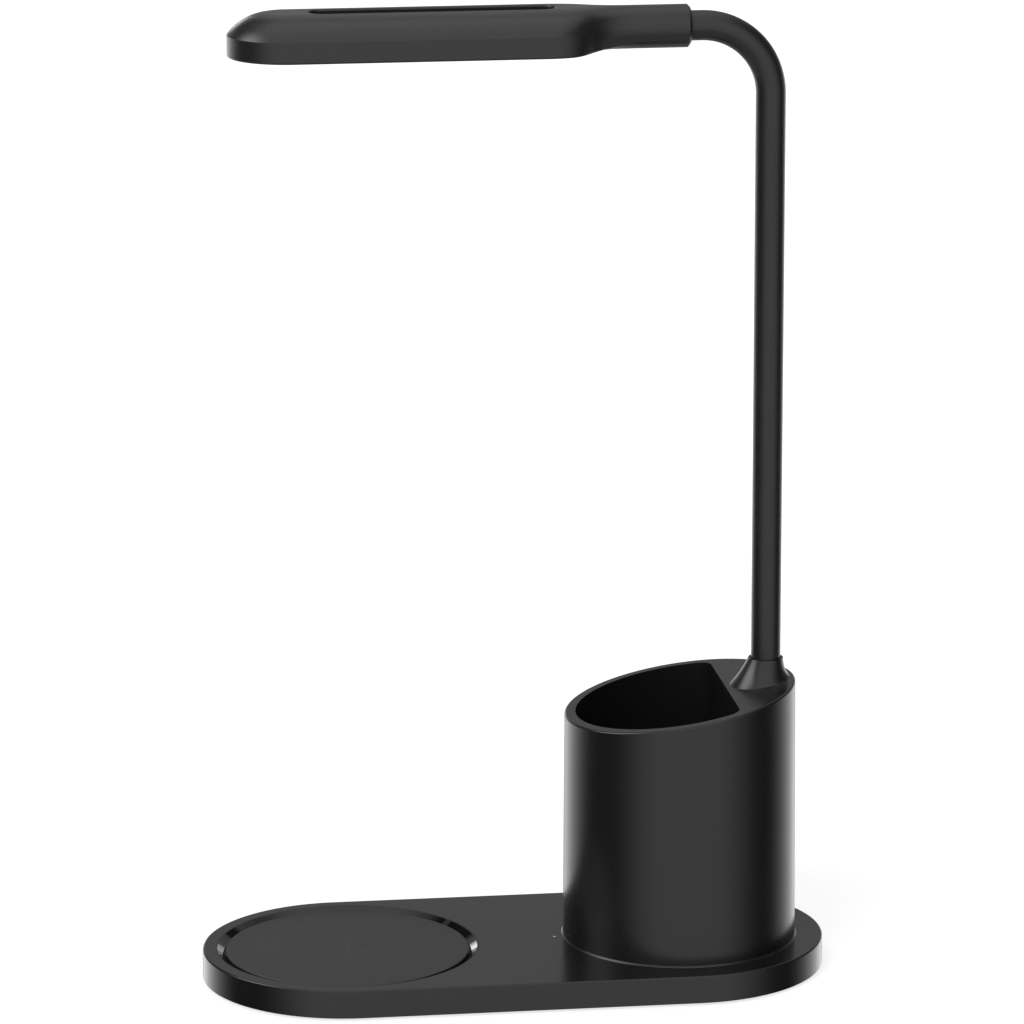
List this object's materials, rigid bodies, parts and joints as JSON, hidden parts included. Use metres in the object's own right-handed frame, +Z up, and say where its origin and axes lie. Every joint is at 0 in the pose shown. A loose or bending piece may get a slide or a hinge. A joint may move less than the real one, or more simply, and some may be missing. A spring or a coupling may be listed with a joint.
{
  "type": "desk lamp",
  "caption": "Desk lamp with a flexible arm and slim obround head on a stadium-shaped base with a wireless-charging pad and a slanted pen cup.",
  "frame": {"origin": "centre of the base's footprint, on the desk surface", "axes": "+X runs along the base from the charging pad to the pen cup, +Y points to the back, where the power socket is, +Z is up"},
  "size_m": [0.2442, 0.113, 0.3798],
  "materials": {
    "satin_shell": "satin black ABS",
    "pad_face": "fine matt black disc",
    "gloss_ring": "gloss black trim",
    "clear_light": "frosted clear light pipe",
    "collar_satin": "satin black painted metal",
    "sleeve_rubber": "smooth black silicone",
    "dark_panel": "dark smoked plastic",
    "diffuser_white": "milky white acrylic",
    "reflector_white": "white plastic",
    "foot_rubber": "soft black rubber",
    "lead_jacket": "black cable jacket",
    "plain_steel": "zinc-plated steel",
    "wound_steel": "wound spring steel",
    "turned_brass": "turned brass",
    "copper_wire": "enamelled copper wire",
    "ferrite": "dark ferrite",
    "board_green": "green solder mask",
    "chip_black": "moulded black parts",
    "led_yellow": "LED chips",
    "led_plate": "white-coated aluminium board"
  },
  "bodies": {
    "stand": {"antislip_feet": "foot_rubber", "arm_collar": "collar_satin", "arm_core_foot": "wound_steel", "arm_sleeve_foot": "sleeve_rubber", "arm_ferrule": "turned_brass", "ballast_plate": "plain_steel", "base_bottom_cover": "satin_shell", "base_cover_screws": "plain_steel", "base_upper_shell": "satin_shell", "board_screws": "plain_steel", "charging_board_parts": "chip_black", "charging_circuit_board": "board_green", "charging_coil": "copper_wire", "charging_pad_disc": "pad_face", "coil_lead": "lead_jacket", "cup_screws": "plain_steel", "ferrite_sheet": "ferrite", "ferrule_nut": "plain_steel", "ferrule_washer": "plain_steel", "indicator_emitter": "led_yellow", "indicator_light_pipe": "clear_light", "lamp_lead": "lead_jacket", "main_board_parts": "chip_black", "main_circuit_board": "board_green", "pad_trim_ring": "gloss_ring", "pen_cup_shell": "satin_shell", "power_socket_shell": "plain_steel", "power_socket_tongue": "chip_black"},
    "link_1": {"arm_core_1": "wound_steel", "arm_sleeve_1": "sleeve_rubber"},
    "link_2": {"arm_core_2": "wound_steel", "arm_sleeve_2": "sleeve_rubber"},
    "link_3": {"arm_core_3": "wound_steel", "arm_sleeve_3": "sleeve_rubber"},
    "link_4": {"arm_core_4": "wound_steel", "arm_sleeve_4": "sleeve_rubber"},
    "head": {"arm_core_head": "wound_steel", "arm_sleeve_head": "sleeve_rubber", "neck_clamp": "turned_brass", "head_lower_shell": "satin_shell", "head_upper_shell": "satin_shell", "head_screws": "plain_steel", "head_slot_panel": "dark_panel", "touch_switch_plate": "turned_brass", "diffuser": "diffuser_white", "reflector_frame": "reflector_white", "led_board": "led_plate", "led_chips": "led_yellow"}
  },
  "joints": [
    {"name": "arm_fore_low", "type": "hinge", "parent": "stand", "child": "link_1", "pos_m": [0.0994, 0, 0.15038], "axis": [0, 1, 0], "range_deg": [-35, 35], "deforming": ["arm_sleeve_foot", "arm_sleeve_1", "lamp_lead"]},
    {"name": "arm_side_low", "type": "hinge", "parent": "link_1", "child": "link_2", "pos_m": [0.0994, 0, 0.20593], "axis": [1, 0, 0], "range_deg": [-35, 35], "deforming": ["arm_sleeve_1", "arm_sleeve_2", "lamp_lead"]},
    {"name": "arm_fore_high", "type": "hinge", "parent": "link_2", "child": "link_3", "pos_m": [0.0994, 0, 0.26148], "axis": [0, 1, 0], "range_deg": [-35, 35], "deforming": ["arm_sleeve_2", "arm_sleeve_3", "lamp_lead"]},
    {"name": "arm_side_high", "type": "hinge", "parent": "link_3", "child": "link_4", "pos_m": [0.0994, 0, 0.31703], "axis": [1, 0, 0], "range_deg": [-35, 35], "deforming": ["arm_sleeve_3", "arm_sleeve_4", "lamp_lead"]},
    {"name": "head_tilt", "type": "hinge", "parent": "link_4", "child": "head", "pos_m": [0.09158, 0, 0.36368], "axis": [0, 1, 0], "range_deg": [-10, 60], "deforming": ["arm_sleeve_4", "arm_sleeve_head", "lamp_lead"]}
  ]
}
